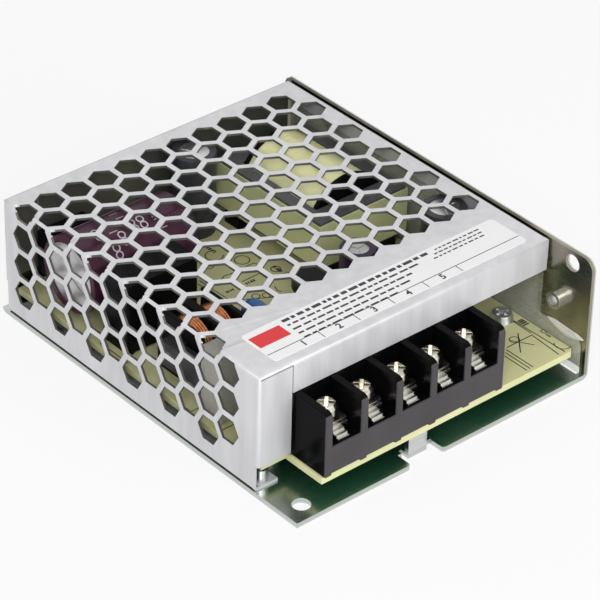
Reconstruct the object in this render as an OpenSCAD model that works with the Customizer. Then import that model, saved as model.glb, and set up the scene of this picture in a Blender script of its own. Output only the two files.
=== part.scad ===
// Mesh case switching power supply. Millimetres, +Z up, terminals on the -Y side.

/* [Node] */
// Node to draw, or all of them

/* [Case] */
// Overall width
case_w = 82; // [78:0.5:110]
// Overall length
case_l = 99; // [96:0.5:140]
// Overall height over the label
case_h = 30; // [30:0.5:40]
// Chassis sheet thickness
chassis_t = 1.2; // [0.8:0.1:1.6]
// Outer radius of the chassis folds
chassis_fold_r = 1.6; // [1.2:0.1:2]
// Radius of the side wall's front corner
wall_corner_r = 2.8; // [1:0.1:4]
// Height of the chassis's rear upstand
upstand_h = 11; // [9:0.5:14]
// Width of the slit beside the rear upstand
upstand_slit = 0.3; // [0.2:0.05:1]
// Distance of the rear upstand from the case's left side
upstand_inset = 3; // [2:0.5:8]

/* [Chassis openings] */
// Clearance hole diameter in base and side wall
fix_hole_d = 4; // [3:0.1:4.5]
// Base hole, inward from the left and front edges
base_hole_in = [4.8, 4.3]; // [3:0.1:12]
// Side wall hole, inward from the front and top edges
wall_hole_in = [5.9, 3]; // [2.5:0.1:12]
// Tapped side boss, inward from the front and up from the base
boss_in = [8.8, 16.8]; // [6:0.1:20]
// Distance between the two tapped side bosses
boss_span = 74; // [60:0.5:80]
// Outside diameter of the tapped bosses
boss_d = 4.2; // [3.8:0.1:6]
// How far the bosses stand in from the wall
boss_h = 2; // [1:0.1:2.4]
// Core diameter of the M3 tapped holes
tap_d = 2.5; // [2:0.1:2.6]
// Width of the relief slot at the foot of the wall
foot_slot_w = 2.1; // [1.5:0.1:3]
// Height of the relief slot up the wall
foot_slot_h = 2.5; // [2:0.1:4]
// Relief slot's first and last distance from the front
foot_slot_y = [1.5, 7.2]; // [1:0.1:12]
// Left side of the front notch, from the centre
notch_x = -10.1; // [-12:0.1:-8]
// Width of the front notch
notch_w = 9; // [8:0.1:12]
// Depth of the front notch
notch_d = 4.1; // [3.5:0.1:4.5]
// Corner radius of the front notch
notch_r = 0.8; // [0.4:0.1:1.5]
// Width of the tab that holds up the board's front
tab_w = 5.1; // [4:0.1:6]
// Relief slit beside the tab, width and depth
tab_slit = [0.8, 1]; // [0.5:0.1:1.5]

/* [Cover] */
// Cover sheet thickness
cover_t = 0.6; // [0.5:0.1:1.1]
// Outer radius of the cover's folds
cover_fold_r = 1; // [0.9:0.1:1.2]
// Gap between the cover and the chassis's upright walls
cover_gap = 0.15; // [0.1:0.05:0.3]
// Depth of the open terminal step in front of the cover
step_d = 12.4; // [12.4:0.1:16]
// Height of the front lip
lip_h = 7.5; // [6.5:0.1:7.5]
// Width of the upright return flanges
return_w = 8.8; // [6:0.1:10]
// Lower end of the front return flange
return_z = 7.5; // [7:0.1:12]
// Lower end of the rear wall
rear_z = 9.2; // [8:0.1:10]
// Width of the open seams between folded flanges
seam = 0.3; // [0.2:0.05:0.5]
// Size of the corner relief notches
relief = 1; // [0.8:0.1:1.5]
// Width of the bottom flange that lies on the base
flange_w = 6.3; // [5.5:0.1:7]
// Height of the right flange inside the side wall
tuck_h = 4.9; // [4:0.1:5]

/* [Hexagon mesh] */
// Distance between hexagon centres along a row
mesh_pitch = 7.22; // [7.1:0.01:7.3]
// Hexagon size across flats as a part of the pitch
mesh_open = 0.82; // [0.7:0.01:0.85]
// Holes in a row over the top, after the folded one
mesh_cols = 10; // [6:1:10]
// Rows of holes over the top
mesh_rows = 10; // [6:1:10]
// Rows of holes down the wall
wall_rows = 12; // [6:1:12]
// Holes down the wall in each row
wall_cols = 3; // [1:1:3]
// Distance from the rear face to the first row
mesh_rear = 7; // [6:0.1:9]
// Row centre of the folded holes, in from the fold
mesh_fold = 0.17; // [0:0.01:0.5]

/* [Label] */
// Label thickness
label_t = 0.1; // [0.05:0.05:0.2]
// Label length and width
label_size = [69.9, 11.1]; // [8:0.1:70]
// Label corner radius
label_r = 1; // [0.5:0.1:2]
// Label's left and front distance from the cover's edges
label_in = [6.3, 2.5]; // [1:0.1:7]

/* [Circuit board] */
// Board thickness
board_t = 1.6; // [1.2:0.1:1.6]
// Height of the board's underside
board_z = 5; // [4.5:0.1:5]
// Gap from the board to the cover's left and rear walls
board_gap = [1.8, 0.9]; // [0.5:0.1:2]
// Board front edge behind the case's front edge
board_front = 2.9; // [2.8:0.1:3.2]
// Left side of the board's front tongue, in from the case's side
tongue_in = 8.9; // [8.9:0.1:10]
// Board edge left of the tongue, behind the cover's front
shoulder_in = 1.8; // [1.5:0.1:4]
// Chamfer at the board's right front corner
board_chamfer = 0.8; // [0.4:0.1:2]
// Diameter of the board's screw holes
board_hole_d = 3.3; // [3.2:0.1:3.6]
// Diameter of the pillars under the board
pillar_d = 5.2; // [4.8:0.1:5.4]
// Clearance round moving and screwed pieces
clear = 0.05; // [0.03:0.01:0.1]

/* [Insulating film] */
// Film thickness
film_t = 0.2; // [0.1:0.05:0.2]
// Gap between the side wall and the film
film_gap = 0.2; // [0.15:0.05:0.25]
// Height of the film beside the terminals
film_low = 9.1; // [7:0.1:11]
// Radius of the film's curled front
film_curl_r = 4; // [3:0.1:5]

/* [Terminals] */
// Number of terminals
term_n = 5; // [5:1:5]
// Distance between terminals
term_pitch = 9.5; // [9.5:0.05:9.6]
// Thickness of the barriers
barrier_t = 1.75; // [1.5:0.05:1.9]
// Height of the terminal block's top
term_z = 22.2; // [22:0.1:22.2]
// Depth of the terminal block
term_d = 13.2; // [13:0.1:14]
// Front face of the block, behind the case's front edge
term_front = 2.4; // [2.4:0.1:2.8]
// Left side of the block, in from the case's left side
term_in = 9.35; // [9.35:0.05:9.6]
// Radius of the barriers' front corner
barrier_r = 1.6; // [1:0.1:3]
// Height of the feet under the barriers
foot_h = 0.5; // [0.4:0.1:0.8]
// Height of the front sill
sill_z = 13.6; // [13.4:0.1:14]
// Thickness of the front sill
sill_t = 0.9; // [0.7:0.1:1]
// Distance from the block's front to the screws
screw_in = 6.7; // [6.6:0.1:6.8]
// Thickness of the contact plates
plate_t = 0.8; // [0.6:0.1:0.8]
// Width of the contact plates' stepped tongue
tongue_w = 3; // [2.4:0.1:4]
// Width of the contact plates under the screws
pad_w = 6.4; // [5.6:0.1:6.6]
// Top of the contact plates under the screws
pad_z = 15.3; // [15.2:0.1:15.4]
// Height of one step of the tongue
tongue_rise = 0.45; // [0.3:0.05:0.5]
// Length of one step of the tongue
tongue_run = 1; // [0.9:0.05:1]
// Overlap of neighbouring steps of the tongue
step_lap = 0.5; // [0.3:0.1:0.6]
// Side of the square clamp washers
washer_w = 6.3; // [5.8:0.1:6.4]
// Thickness of the clamp washers
washer_t = 1; // [0.8:0.1:1.2]
// Diameter of the terminal screws' thread
screw_d = 3; // [2.8:0.1:3]
// Diameter of the terminal screws' head
head_d = 5.2; // [5:0.1:5.8]
// Height of the terminal screws' head
head_h = 2.4; // [2:0.1:2.6]
// Height of the spring washer under the head
collar_h = 0.8; // [0.5:0.1:0.9]
// Width of the cross recess
recess_w = 0.9; // [0.6:0.1:1]
// Length of the terminal screws' thread
thread_l = 6.5; // [6:0.1:6.8]

/* [Adjuster and lamp] */
// Adjuster body
trim_size = [6.6, 4.4, 7.2]; // [4:0.1:8]
// Adjuster's left side from the centre, and front behind the cover's front
trim_at = [17.6, 4.1]; // [1:0.1:26]
// Diameter of the adjuster's rotor
rotor_d = 3.8; // [3:0.1:4]
// Length of the rotor in and in front of the body
rotor_l = [1, 0.5]; // [0.4:0.1:1.5]
// Lamp diameter and height
lamp_size = [3, 5.4]; // [3:0.1:6]
// Lamp centre
lamp_at = [24.9, -26.5]; // [-36:0.1:36]

/* [Bulk capacitor] */
// Diameter of the bulk capacitor over its sleeve
bulk_d = 18; // [16:0.5:18]
// Length of the bulk capacitor's can
bulk_l = 28.4; // [24:0.1:30]
// Left end, height and depth of the bulk capacitor's axis
bulk_at = [-37.2, 30, 18]; // [-38:0.1:31]
// Sleeve thickness
sleeve_t = 0.25; // [0.2:0.05:0.4]
// Width of the sleeve's edge turned over the can's end
sleeve_lap = 1.3; // [0.8:0.1:2]
// Thickness of the end seal
seal_t = 1.4; // [1:0.1:2]
// Lead diameter
lead_d = 0.8; // [0.6:0.1:1]
// Distance between the bulk capacitor's leads
bulk_lead_gap = 7.5; // [5:0.1:8]
// Width and depth of the scores in the can ends
score = [0.5, 0.3]; // [0.2:0.05:0.8]

/* [Upright capacitors] */
// Output capacitor diameter and height
out_cap = [10, 20.6]; // [8:0.1:21]
// Output capacitor centre
out_cap_at = [33.6, -10.6]; // [-40:0.1:40]
// Rear capacitor diameter and height
rear_cap = [10, 20.4]; // [8:0.1:21]
// Rear capacitor centre
rear_cap_at = [6.2, 41.2]; // [-40:0.1:42]
// Small capacitor diameter and height
small_cap = [8, 13.4]; // [6:0.1:16]
// Small capacitor centre
small_cap_at = [15.8, -2.9]; // [-40:0.1:40]

/* [Box and disc parts] */
// Black box capacitor
x_cap = [19, 9.2, 17.4]; // [8:0.1:24]
// Black box capacitor's left front corner
x_cap_at = [-36, 11.1]; // [-38:0.1:20]
// Pale box capacitor
box_cap = [17.5, 6.4, 16.8]; // [5:0.1:18]
// Pale box capacitor's left front corner
box_cap_at = [-37, -20]; // [-38:0.1:20]
// Corner radius of the box capacitors
box_r = 0.8; // [0.4:0.1:1.5]
// Blue disc capacitor diameter and thickness
disc_cap = [9.4, 3.2]; // [3:0.1:10]
// Blue disc capacitor centre
disc_cap_at = [-14.1, -5]; // [-40:0.1:40]
// Height of the discs' lower edge over the board
disc_lift = 4; // [2:0.1:5]
// Thermistor diameter and thickness
therm = [9, 4]; // [3:0.1:10]
// Thermistor centre
therm_at = [-15.4, -26.5]; // [-40:0.1:40]
// Fuse diameter and height
fuse_size = [8.4, 8]; // [6:0.1:9]
// Fuse centre
fuse_at = [-24.4, -24.9]; // [-40:0.1:40]
// Distance between the legs of the disc parts
leg_gap = 5; // [4:0.1:7.5]
// Bridge rectifier
bridge_size = [14.8, 3.6, 10.6]; // [3:0.1:16]
// Bridge rectifier's left front corner
bridge_at = [-34, 42]; // [-40:0.1:44]
// Width of a bevel on the moulded parts
bevel = 0.7; // [0.3:0.1:1]
// Leg height under the moulded parts
leg_h = 3; // [1:0.1:4]

/* [Line choke] */
// Outline of the choke core seen from above
choke_core_size = [19.4, 13.4]; // [12:0.1:20]
// Choke core's left front corner
choke_at = [-36.2, -13]; // [-38:0.1:10]
// Section of the core's long legs
choke_leg = [4.4, 6]; // [3:0.1:7]
// Width of the core's end legs
choke_end = 3; // [2.5:0.1:3.4]
// Height of the choke's axis
choke_z = 14; // [13:0.1:15]
// Diameter of the choke windings
choke_coil_d = 13.4; // [11:0.1:13.8]
// Diameter of the choke bobbin's tube
choke_tube_d = 9.6; // [8.8:0.1:10]
// Side of the choke bobbin's flanges
choke_flange = 14.2; // [13.8:0.1:14.6]
// Thickness of the end and middle flanges
choke_flange_t = [1.2, 2.2]; // [1:0.1:3]

/* [Transformer] */
// Outline of the transformer core seen from above
core_size = [25.2, 35]; // [24:0.1:36]
// Core's left front corner
core_at = [12.1, 5.4]; // [5:0.1:14]
// Core height and the height of its underside
core_h = [12.2, 11]; // [10:0.1:13]
// Thickness of the core's cross-pieces
core_yoke = 5; // [4:0.1:6]
// Diameter of the core's round centre post
core_post_d = 9; // [8:0.1:10]
// Diameter of the transformer's winding over its tape
coil_d = 20.6; // [19:0.1:21]
// Height of the winding's axis over the core's middle
coil_rise = 0.4; // [0:0.1:0.6]
// Thickness of the winding's tape
tape_t = 0.3; // [0.2:0.1:0.4]
// Width of the tape round the core
tape_w = 11; // [9:0.1:12]
// Diameter of the bobbin's tube
tube_d = 11; // [10:0.1:12]
// Thickness of the bobbin's flanges
cheek_t = 1; // [0.8:0.1:1.2]
// Gap between the bobbin and the core
core_gap = 0.3; // [0.2:0.05:0.4]
// Depth of the bobbin's pin rails
rail_d = 5; // [4:0.1:6]

/* [Inductor and optocoupler] */
// Output inductor diameter and height
choke_out = [10.2, 10.4]; // [7:0.1:12]
// Output inductor centre
choke_out_at = [3.6, -3]; // [-30:0.1:30]
// Diameter of the output inductor's winding
choke_out_coil_d = 8.8; // [6:0.1:9]
// Rim thickness of the output inductor's core
choke_out_rim = 1.8; // [1:0.1:2.5]
// Optocoupler body
opto_size = [6.4, 4.6, 3.4]; // [3:0.1:7]
// Optocoupler's left front corner
opto_at = [-8.6, -20.6]; // [-30:0.1:30]

/* [Fasteners] */
// Thread diameter of the small screws
fast_d = 3; // [2.5:0.1:3]
// Head diameter of the board screws
board_head_d = 5.4; // [4.8:0.1:5.6]
// Head height of the board screws
board_head_h = 1.8; // [1.4:0.1:2.2]
// Depth of the board screws' thread
board_thread_l = 5.4; // [4:0.1:6]
// Head diameter of the countersunk cover screws
sunk_d = 5; // [4.6:0.1:5.2]
// Length of the cover screws
cover_screw_l = 4.6; // [3.6:0.1:4.8]
// Cover screw places along the bottom flange
flange_screws = [-34, 32]; // [-40:0.5:40]
// Bottom flange screws, in from the case's left side
flange_screw_in = 3.5; // [3:0.1:4]
// Cover screw places along the side wall
side_screws = [-24, 30]; // [-40:0.5:40]

/* [Hidden] */
$fn = 64;
eps = 0.01;
big = 200;
left = -case_w / 2;
right = case_w / 2;
front = -case_l / 2;
back = case_l / 2;
wall_in = right - chassis_t;
cover_top = case_h - label_t;
cover_right = wall_in - cover_gap;
cover_front = front + step_d;
cover_back = back - chassis_t - cover_gap;
lip_z = cover_top - lip_h;
tuck_z = cover_top - tuck_h;
board_top = board_z + board_t;
film_x = wall_in - film_gap - film_t;
board_right = film_x - film_gap;
board_left = left + cover_t + board_gap[0];
board_back = cover_back - cover_t - board_gap[1];
shoulder_y = cover_front + shoulder_in;
boss_y = [front + boss_in[0], front + boss_in[0] + boss_span];
side_screw_z = (tuck_z + cover_top - cover_t) / 2;
flange_screw_x = left + flange_screw_in;
pillars = [
    [left + 10, cover_front + 8.6], [right - 5.8, cover_front + 8.6],
    [-3.6, board_back - 3.2], [right - 6.6, board_back - 3]
];
mesh_flat = mesh_pitch * mesh_open;
mesh_d = mesh_flat / cos(30);
mesh_step = mesh_pitch * sin(60);
term_left = left + term_in;
term_y = front + term_front;
term_w = term_n * term_pitch + barrier_t;
term_bottom = board_top + foot_h;
bay_w = term_pitch - barrier_t;
screw_y = term_y + screw_in;
washer_top = pad_z + washer_t;
coil_z = core_h[1] + core_h[0] / 2 + coil_rise;
coil_x = core_at[0] + core_size[0] / 2;
coil_y = core_at[1] + core_size[1] / 2;
window_l = core_size[1] - 2 * core_yoke;
bobbin_l = window_l - 2 * core_gap;
choke_y = choke_at[1] + choke_core_size[1] - choke_leg[0] / 2;
choke_bobbin_l = choke_core_size[0] - 2 * choke_end - 2 * core_gap;
choke_bobbin_x = choke_at[0] + choke_end + core_gap;
choke_coil_l = (choke_bobbin_l - 2 * choke_flange_t[0] - choke_flange_t[1]) / 2;

// Flat helpers

module span(a, b) {
    translate([a[0], a[1], a[2]]) cube([b[0] - a[0], b[1] - a[1], b[2] - a[2]]);
}

module plan_round(a, b, r) {
    translate([a[0] + r, a[1]]) square([b[0] - a[0] - 2 * r, b[1] - a[1]]);
    translate([a[0], a[1] + r]) square([b[0] - a[0], b[1] - a[1] - 2 * r]);
    for (x = [a[0] + r, b[0] - r], y = [a[1] + r, b[1] - r]) translate([x, y]) circle(r);
}

module corner_cut(p, sx, sy, r) {
    translate(p) scale([sx, sy]) difference() {
        translate([-1, -1]) square(r + 1);
        translate([r, r]) circle(r);
    }
}

module along_x(x0, x1) {
    translate([x0, 0, 0]) rotate([90, 0, 90]) linear_extrude(x1 - x0) children();
}

module along_y(y0, y1) {
    translate([0, y1, 0]) rotate([90, 0, 0]) linear_extrude(y1 - y0) children();
}

module along_z(z0, z1) {
    translate([0, 0, z0]) linear_extrude(z1 - z0) children();
}

module x_rod(p, d, l) {
    translate(p) rotate([0, 90, 0]) cylinder(d = d, h = l);
}

module y_rod(p, d, l) {
    translate(p) rotate([-90, 0, 0]) cylinder(d = d, h = l);
}

module z_rod(p, d, l) {
    translate(p) cylinder(d = d, h = l);
}

// Chassis: base, side wall and rear upstand of one sheet

module chassis_blank() {
    intersection() {
        along_y(front, back) difference() {
            translate([left, 0]) square([case_w, case_h]);
            corner_cut([right, 0], -1, 1, chassis_fold_r);
        }
        along_x(left, right) difference() {
            translate([front, 0]) square([case_l, case_h]);
            corner_cut([back, 0], -1, 1, chassis_fold_r);
            corner_cut([front, case_h], 1, -1, wall_corner_r);
            corner_cut([back, case_h], -1, -1, chassis_fold_r);
        }
    }
}

module front_notch() {
    along_z(-1, chassis_t + 1) difference() {
        union() {
            translate([notch_x, front - 1]) square([notch_w, notch_d + 1]);
            translate([notch_x - notch_r, front - 1]) square([notch_w + 2 * notch_r, notch_r + 1]);
        }
        for (x = [notch_x - notch_r, notch_x + notch_w + notch_r])
            translate([x, front + notch_r]) circle(notch_r);
    }
}

module chassis() {
    tab_x = notch_x + (notch_w - tab_w) / 2;
    tab_y = front + notch_d;
    color([0.74, 0.75, 0.77]) difference() {
        union() {
            difference() {
                chassis_blank();
                span([left - 1, front - 1, chassis_t], [wall_in, back - chassis_t, case_h + 1]);
                span([left - 1, front, upstand_h], [wall_in, back + 1, case_h + 1]);
                span([left - 1, back - chassis_t - 1, chassis_t],
                    [left + upstand_inset, back + 1, case_h + 1]);
                span([wall_in - upstand_slit, back - chassis_t - 1, chassis_t],
                    [wall_in, back + 1, case_h + 1]);
                front_notch();
                span([right - foot_slot_w, front + foot_slot_y[0], -1],
                    [right + 1, front + foot_slot_y[1], foot_slot_h]);
                for (x = [tab_x - tab_slit[0], tab_x + tab_w])
                    span([x, tab_y - 1, -1], [x + tab_slit[0], tab_y + tab_slit[1], chassis_t + 1]);
            }
            span([tab_x, tab_y - chassis_t + 0.1, 0], [tab_x + tab_w, tab_y + 0.1, board_z]);
            for (p = pillars) z_rod([p[0], p[1], 0], pillar_d, board_z);
            for (y = boss_y) x_rod([wall_in - boss_h, y, boss_in[1]], boss_d, boss_h + eps);
        }
        z_rod([left + base_hole_in[0], front + base_hole_in[1], -1], fix_hole_d, chassis_t + 2);
        x_rod([wall_in - 1, front + wall_hole_in[0], case_h - wall_hole_in[1]], fix_hole_d,
            chassis_t + 2);
        for (y = boss_y) x_rod([wall_in - boss_h - 1, y, boss_in[1]], tap_d, boss_h + chassis_t + 2);
        for (p = pillars) z_rod([p[0], p[1], -1], fast_d + 2 * clear, board_z + 2);
        for (y = flange_screws) sunk_hole([flange_screw_x, y, 0], [0, 0, 0]);
        for (y = side_screws) sunk_hole([right, y, side_screw_z], [0, -90, 0]);
    }
}

module sunk_hole(p, turn) {
    translate(p) rotate(turn) {
        translate([0, 0, -1]) cylinder(d = fast_d + 2 * clear, h = chassis_t + 2);
        translate([0, 0, -eps])
            cylinder(d1 = sunk_d + 2 * clear + 2 * eps, d2 = fast_d + 2 * clear, h = 1 + eps);
    }
}

// Cover: one folded sheet whose hexagon mesh runs over the left fold

module cover_blank() {
    difference() {
        intersection() {
            along_y(cover_front, cover_back)
                plan_round([left, chassis_t], [cover_right, cover_top], cover_fold_r);
            along_x(left, cover_right)
                plan_round([cover_front, 0], [cover_back, cover_top], cover_fold_r);
            along_z(chassis_t, cover_top)
                plan_round([left, cover_front], [cover_right, cover_back], cover_fold_r);
        }
        span([left + cover_t, cover_front + cover_t, chassis_t + cover_t],
            [cover_right - cover_t, cover_back - cover_t, cover_top - cover_t]);
    }
}

module hexagon() {
    rotate(90) circle(d = mesh_d, $fn = 6);
}

module mesh_prisms() {
    // over the top
    along_z(cover_top - 2 * cover_t, cover_top + 1)
        for (j = [0:mesh_rows - 1], k = [1:mesh_cols])
            translate([left + mesh_fold + mesh_pitch * (k - (j % 2) / 2),
                cover_back - mesh_rear - mesh_step * j]) hexagon();
    along_z(cover_top - 2 * cover_t, cover_top + 1)
        for (j = [1:2:mesh_rows - 1])
            translate([left + mesh_fold + mesh_pitch * (mesh_cols + 0.5),
                cover_back - mesh_rear - mesh_step * j]) hexagon();
    // wrapped over the fold
    for (j = [0:2:mesh_rows]) {
        translate([left + mesh_fold, cover_back - mesh_rear - mesh_step * j,
            cover_top - 2 * cover_t]) linear_extrude(2 * cover_t + 1) hexagon();
        translate([left - 1, cover_back - mesh_rear - mesh_step * j, cover_top + mesh_fold])
            rotate([0, 90, 0]) linear_extrude(1 + 2 * cover_t) hexagon();
    }
    // down the wall
    translate([left - 1, 0, 0]) rotate([0, 90, 0]) linear_extrude(1 + 2 * cover_t)
        for (j = [0:wall_rows - 1], k = [1:wall_cols])
            translate([-(cover_top + mesh_fold - mesh_pitch * (k - (j % 2) / 2)),
                cover_back - mesh_rear - mesh_step * j]) hexagon();
}

module cover_cuts() {
    seam_x = left + return_w;
    // right side, bottom and the open front
    span([cover_right - cover_t - eps, -big, 0], [big, big, tuck_z]);
    span([left + flange_w, -big, 0], [big, big, chassis_t + cover_t + eps]);
    span([seam_x, -big, 0], [big, cover_front + cover_t + eps, lip_z]);
    span([left - 1, -big, 0], [seam_x + seam, cover_front + relief, return_z]);
    span([left - 1, cover_back - relief, 0], [seam_x + seam, big, rear_z]);
    span([seam_x, cover_back - cover_t - eps, 0], [big, big, rear_z]);
    // seams between the return flanges and the top's own flanges
    for (y = [cover_front - 1, cover_back - cover_t - eps]) {
        span([seam_x, y, 0], [seam_x + seam, y + cover_t + 1 + eps, cover_top - cover_t - eps]);
        span([left + cover_t, y, cover_top - cover_t - seam],
            [seam_x + seam, y + cover_t + 1 + eps, cover_top - cover_t]);
    }
    // reliefs at the right corners
    for (y = [cover_front - 1, cover_back - 2 * relief])
        span([cover_right - cover_t / 2, y, 0],
            [big, y + 2 * relief + 1, cover_top - cover_t - seam]);
}

module mesh_cover() {
    color([0.80, 0.81, 0.82]) difference() {
        cover_blank();
        cover_cuts();
        mesh_prisms();
        for (y = flange_screws) z_rod([flange_screw_x, y, 0], fast_d + 2 * clear, board_z);
        for (y = side_screws)
            x_rod([cover_right - 2 * cover_t, y, side_screw_z], fast_d + 2 * clear, 4 * cover_t);
    }
}

module rating_label() {
    x = left + label_in[0];
    y = cover_front + label_in[1];
    color([0.95, 0.95, 0.95]) along_z(cover_top, case_h)
        plan_round([x, y], [x + label_size[0], y + label_size[1]], label_r);
}

// Circuit board and film

module circuit_board() {
    y0 = front + board_front;
    color([0.85, 0.85, 0.62]) along_z(board_z, board_top) difference() {
        polygon([
            [left + tongue_in, y0], [board_right - board_chamfer, y0],
            [board_right, y0 + board_chamfer], [board_right, board_back],
            [board_left, board_back], [board_left, shoulder_y], [left + tongue_in, shoulder_y]
        ]);
        for (p = pillars) translate(p) circle(d = board_hole_d);
    }
}

module insulating_film() {
    low = chassis_t + film_low;
    y0 = front + 1.3;
    y1 = cover_front + 3.1;
    color([0.8, 0.82, 0.75, 0.5]) {
        difference() {
            along_x(film_x, film_x + film_t) difference() {
                union() {
                    translate([y1, chassis_t])
                        square([board_back - y1, tuck_z - chassis_t - cover_gap]);
                    translate([y0, chassis_t]) square([y1 - y0, film_low]);
                }
                corner_cut([y0, low], 1, -1, 3);
                corner_cut([y1, tuck_z - cover_gap], 1, -1, 3);
            }
            x_rod([film_x - 1, boss_y[1], boss_in[1]], boss_d + 1, 2);
        }
        along_z(low, low + 11) intersection() {
            translate([film_x + film_t - film_curl_r, y1]) difference() {
                circle(film_curl_r);
                circle(film_curl_r - film_t);
            }
            translate([film_x - film_curl_r / 2, y1 - film_curl_r])
                square([film_curl_r, film_curl_r + eps]);
        }
    }
}

// Terminal strip

module bays() {
    for (i = [0:term_n - 1]) translate([term_left + barrier_t + term_pitch * i, 0, 0]) children();
}

function bay_x(i) = term_left + barrier_t + bay_w / 2 + term_pitch * (i - 1);

module terminal_block() {
    floor_z = pad_z - plate_t - 3 * tongue_rise - 0.1;
    rear_y = screw_y + washer_w / 2 + 0.5;
    slot = plate_t + 2 * clear;
    color([0.12, 0.12, 0.13]) difference() {
        union() {
            along_x(term_left, term_left + term_w) difference() {
                translate([term_y, term_bottom]) square([term_d, term_z - term_bottom]);
                corner_cut([term_y, term_z], 1, -1, barrier_r);
            }
            for (i = [0:term_n]) translate([term_left + term_pitch * i, term_y, board_top])
                cube([barrier_t, term_d, foot_h + eps]);
        }
        bays() {
            span([0, term_y - 1, sill_z], [bay_w, rear_y, big]);
            span([0, term_y + sill_t, floor_z], [bay_w, screw_y - pad_w / 2 + step_lap + clear, big]);
            span([0, term_y + sill_t, pad_z - plate_t], [bay_w, rear_y, big]);
            translate([bay_w / 2, screw_y, 0]) {
                z_rod([0, 0, board_top + 1.2], screw_d + 0.8, big);
                span([-tongue_w / 2 - clear, pad_w / 2 - slot, 0],
                    [tongue_w / 2 + clear, pad_w / 2 + clear, big]);
            }
        }
    }
}

module contact_plate(i) {
    pad_y = screw_y - pad_w / 2;
    tongue_front = term_y + sill_t + clear;
    color([0.80, 0.78, 0.70]) translate([bay_x(i), 0, 0]) difference() {
        union() {
            span([-pad_w / 2, pad_y, pad_z - plate_t], [pad_w / 2, screw_y + pad_w / 2, pad_z]);
            for (s = [1:3]) span(
                [-tongue_w / 2, max(pad_y - tongue_run * s, tongue_front), pad_z - plate_t - tongue_rise * s],
                [tongue_w / 2, pad_y - tongue_run * (s - 1) + step_lap, pad_z - tongue_rise * s]);
            span([-tongue_w / 2, screw_y + pad_w / 2 - plate_t, board_top],
                [tongue_w / 2, screw_y + pad_w / 2, pad_z - eps]);
        }
        z_rod([0, screw_y, pad_z - plate_t - 1], screw_d + 2 * clear, plate_t + 2);
    }
}

module clamp_washer(i) {
    color([0.82, 0.81, 0.76]) translate([bay_x(i), screw_y, pad_z]) difference() {
        linear_extrude(washer_t)
            plan_round([-washer_w / 2, -washer_w / 2], [washer_w / 2, washer_w / 2], 0.6);
        z_rod([0, 0, -1], screw_d + 2 * clear, washer_t + 2);
    }
}

module terminal_screw(i) {
    edge = head_h / 3;
    color([0.84, 0.83, 0.78]) translate([bay_x(i), screw_y, washer_top]) difference() {
        union() {
            z_rod([0, 0, -thread_l], screw_d, thread_l + eps);
            z_rod([0, 0, 0], head_d - 0.8, collar_h);
            z_rod([0, 0, collar_h], head_d, head_h - edge);
            translate([0, 0, collar_h + head_h - edge])
                cylinder(d1 = head_d, d2 = head_d - 2 * edge, h = edge);
        }
        for (a = [45, 135]) rotate(a) translate([-head_d * 0.36, -recess_w / 2, collar_h + 1])
            cube([head_d * 0.72, recess_w, head_h]);
    }
}

// Adjuster and lamp

module adjuster_body() {
    y = cover_front + trim_at[1];
    axis_z = board_top + trim_size[2] / 2;
    color([0.16, 0.22, 0.40]) difference() {
        span([trim_at[0], y, board_top],
            [trim_at[0] + trim_size[0], y + trim_size[1], board_top + trim_size[2]]);
        y_rod([trim_at[0] + trim_size[0] / 2, y - 1, axis_z], rotor_d + 2 * clear,
            rotor_l[0] + 1 + clear);
    }
}

module adjuster_rotor() {
    y = cover_front + trim_at[1] - rotor_l[1];
    axis = [trim_at[0] + trim_size[0] / 2, y, board_top + trim_size[2] / 2];
    color([0.92, 0.92, 0.88]) difference() {
        y_rod(axis, rotor_d, rotor_l[0] + rotor_l[1]);
        translate(axis) for (turn = [0, 90]) rotate([0, turn, 0])
            translate([-rotor_d * 0.38, -1, -0.3]) cube([rotor_d * 0.76, 1.6, 0.6]);
    }
}

module indicator_lamp() {
    color([0.30, 0.60, 0.30]) translate([lamp_at[0], lamp_at[1], board_top]) {
        cylinder(d = lamp_size[0] + 0.6, h = 0.8);
        cylinder(d = lamp_size[0], h = lamp_size[1] - lamp_size[0] / 2);
        translate([0, 0, lamp_size[1] - lamp_size[0] / 2]) sphere(d = lamp_size[0]);
    }
}

// Electrolytic capacitors, drawn upright from their seat

module can_body(d, h) {
    r = d / 2 - sleeve_t;
    difference() {
        rotate_extrude() difference() {
            square([r, h]);
            translate([r, h * 0.12]) circle(0.6);
            corner_cut([r, h], -1, -1, 0.8);
        }
        for (a = [0:120:240]) rotate(a) translate([0, -score[0] / 2, h - score[1]])
            cube([r * 0.62, score[0], 1]);
    }
}

module sleeve_body(d, h) {
    lap = sleeve_t + sleeve_lap;
    rotate_extrude() {
        translate([d / 2 - sleeve_t, 0]) square([sleeve_t, h]);
        translate([d / 2 - lap, h]) square([lap, sleeve_t]);
    }
}

module standing_can(at, size) {
    color([0.80, 0.80, 0.80]) translate([at[0], at[1], board_top])
        can_body(size[0], size[1] - sleeve_t);
}

module standing_sleeve(at, size, tint) {
    color(tint) translate([at[0], at[1], board_top]) sleeve_body(size[0], size[1] - sleeve_t);
}

module bulk_place() {
    translate([bulk_at[0] + bulk_l, bulk_at[1], bulk_at[2]]) rotate([0, -90, 0]) children();
}

module bulk_can() {
    color([0.82, 0.82, 0.82]) bulk_place() can_body(bulk_d, bulk_l - sleeve_t);
}

module bulk_sleeve() {
    color([0.27, 0.13, 0.22]) bulk_place() sleeve_body(bulk_d, bulk_l - sleeve_t);
}

module bulk_seal() {
    color([0.10, 0.10, 0.10]) bulk_place() difference() {
        translate([0, 0, -seal_t]) cylinder(d = bulk_d - 2.4, h = seal_t);
        for (s = [-1, 1]) translate([0, s * bulk_lead_gap / 2, -seal_t - 1])
            cylinder(d = lead_d, h = seal_t + 2);
    }
}

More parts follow.
